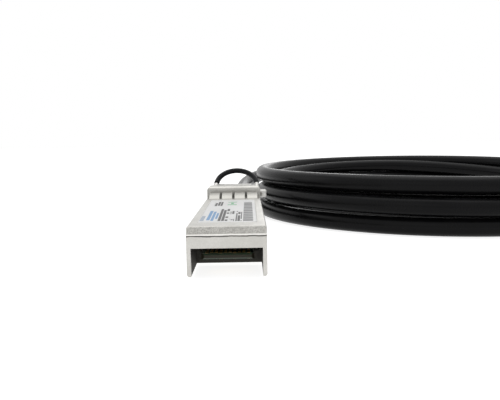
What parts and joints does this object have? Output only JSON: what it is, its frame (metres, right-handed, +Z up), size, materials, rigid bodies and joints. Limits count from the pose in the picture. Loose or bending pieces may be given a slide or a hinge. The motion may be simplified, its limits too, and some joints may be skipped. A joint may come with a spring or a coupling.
{
  "type": "direct attach copper cable",
  "caption": "Coiled twinaxial copper cable with a metal pluggable connector on each end, each with an edge-contact card, spring collar, latch and pull ring.",
  "frame": {"origin": "on the surface that the cable lies on, under the middle of the near plug's outline", "axes": "+Z up, +Y from the near plug's nose towards its cable, +X across the plug towards the far plug"},
  "size_m": [0.1402, 0.1412, 0.0156],
  "materials": {
    "cast_metal": "nickel-plated zinc die casting, fine satin grain",
    "label_film": null,
    "steel": "satin steel",
    "circuit_board": "green solder mask",
    "gold": "gold-plated contacts",
    "chip_black": "black moulding compound",
    "capacitor_tan": "ceramic",
    "wire_insulation": "foil-wrapped insulated wire",
    "black_rubber": "moulded black rubber",
    "spring_steel": "thin plated spring sheet",
    "black_sleeve": "black shrink sleeve",
    "cable_jacket": "semi-gloss black jacket"
  },
  "bodies": {
    "root": {"near_base_shell": "cast_metal", "near_top_cover": "cast_metal", "near_label": "label_film", "near_cover_screws": "steel", "near_paddle_card": "circuit_board", "near_contact_pads": "gold", "near_memory_chip": "chip_black", "near_capacitors": "capacitor_tan", "near_wire_pairs": "wire_insulation", "near_crimp_ferrule": "steel", "near_strain_relief": "black_rubber", "near_spring_collar": "spring_steel", "near_lever_pin": "steel", "near_latch_spring": "spring_steel", "far_base_shell": "cast_metal", "far_top_cover": "cast_metal", "far_label": "label_film", "far_cover_screws": "steel", "far_paddle_card": "circuit_board", "far_contact_pads": "gold", "far_memory_chip": "chip_black", "far_capacitors": "capacitor_tan", "far_wire_pairs": "wire_insulation", "far_crimp_ferrule": "steel", "far_strain_relief": "black_rubber", "far_spring_collar": "spring_steel", "far_lever_pin": "steel", "far_latch_spring": "spring_steel", "near_lead": "cable_jacket", "far_lead": "cable_jacket", "cable_coil": "cable_jacket"},
    "near_pull_slide": {"near_pull_slide": "steel", "near_ring_pins": "steel"},
    "near_pull_ring": {"near_pull_ring": "steel", "near_ring_sleeve": "black_sleeve"},
    "near_latch_lever": {"near_latch_lever": "cast_metal"},
    "far_pull_slide": {"far_pull_slide": "steel", "far_ring_pins": "steel"},
    "far_pull_ring": {"far_pull_ring": "steel", "far_ring_sleeve": "black_sleeve"},
    "far_latch_lever": {"far_latch_lever": "cast_metal"}
  },
  "joints": [
    {"name": "near_pull", "type": "slide", "parent": "root", "child": "near_pull_slide", "axis": [0, 1, 0], "range_m": [0, 0.002], "stiffness_N_per_m": 300, "springref_m": -0.001},
    {"name": "near_ring_swing", "type": "hinge", "parent": "near_pull_slide", "child": "near_pull_ring", "pos_m": [0, 0.0201, 0.00905], "axis": [1, 0, 0], "range_deg": [-38, 50]},
    {"name": "near_latch", "type": "hinge", "parent": "root", "child": "near_latch_lever", "pos_m": [0, 0.0005, 0.00145], "axis": [1, 0, 0], "range_deg": [0, 3.5], "deforming": ["near_latch_spring"]},
    {"name": "far_pull", "type": "slide", "parent": "root", "child": "far_pull_slide", "axis": [0, 1, 0], "range_m": [0, 0.002], "stiffness_N_per_m": 300, "springref_m": -0.001},
    {"name": "far_ring_swing", "type": "hinge", "parent": "far_pull_slide", "child": "far_pull_ring", "pos_m": [0.123, 0.0201, 0.00905], "axis": [1, 0, 0], "range_deg": [-38, 50]},
    {"name": "far_latch", "type": "hinge", "parent": "root", "child": "far_latch_lever", "pos_m": [0.123, 0.0005, 0.00145], "axis": [1, 0, 0], "range_deg": [0, 3.5], "deforming": ["far_latch_spring"]}
  ],
  "couplings": [
    {"joint": "near_latch", "follows": "near_pull", "rad_per_m": 30.456},
    {"joint": "far_latch", "follows": "far_pull", "rad_per_m": 30.456}
  ]
}
